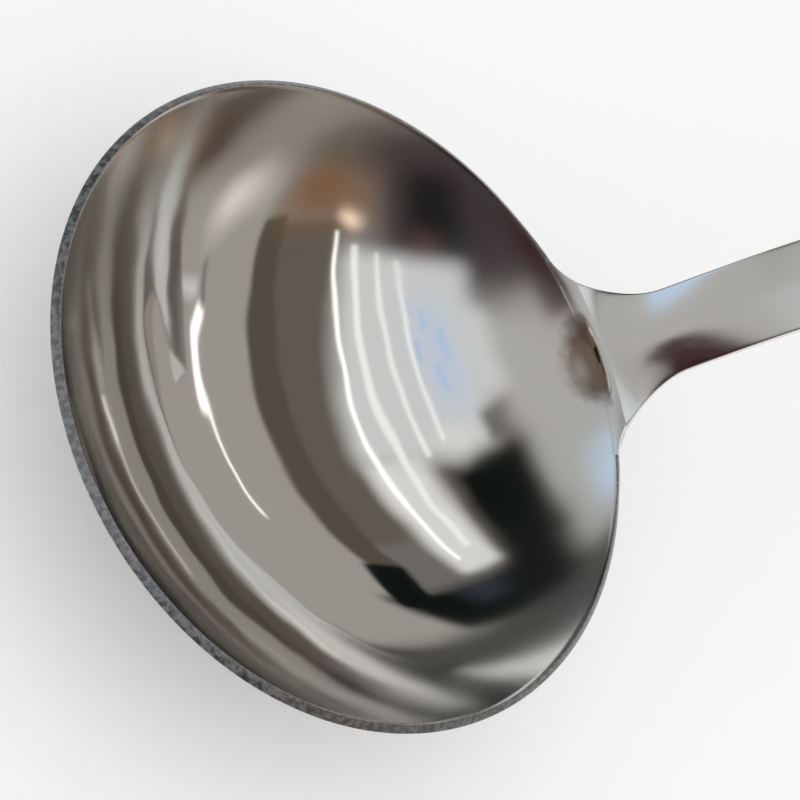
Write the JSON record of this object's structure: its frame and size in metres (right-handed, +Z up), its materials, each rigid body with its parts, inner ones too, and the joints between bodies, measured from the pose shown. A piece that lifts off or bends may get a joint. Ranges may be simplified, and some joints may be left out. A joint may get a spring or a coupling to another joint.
{
  "type": "soup ladle",
  "caption": "Polished steel soup ladle: a shallow round bowl and a flat strip handle, laid back by one bend and welded to its rim, with a hanging hole.",
  "frame": {"origin": "middle of the flat foot on the underside of the bowl", "axes": "+Z up along the bowl's axis, +X towards the handle, the XZ plane halves the ladle"},
  "size_m": [0.3037, 0.092, 0.1282],
  "materials": {
    "bowl_steel": "mirror polished inside, satin at the rim, fine hairlines, brown and matt in the dished seat",
    "handle_steel": "polished strip with fine lengthwise hairlines",
    "weld_steel": "hand-dressed weld, brushed across the seam"
  },
  "bodies": {
    "root": {"bowl": "bowl_steel", "handle": "handle_steel", "root_weld": "weld_steel"}
  },
  "joints": []
}
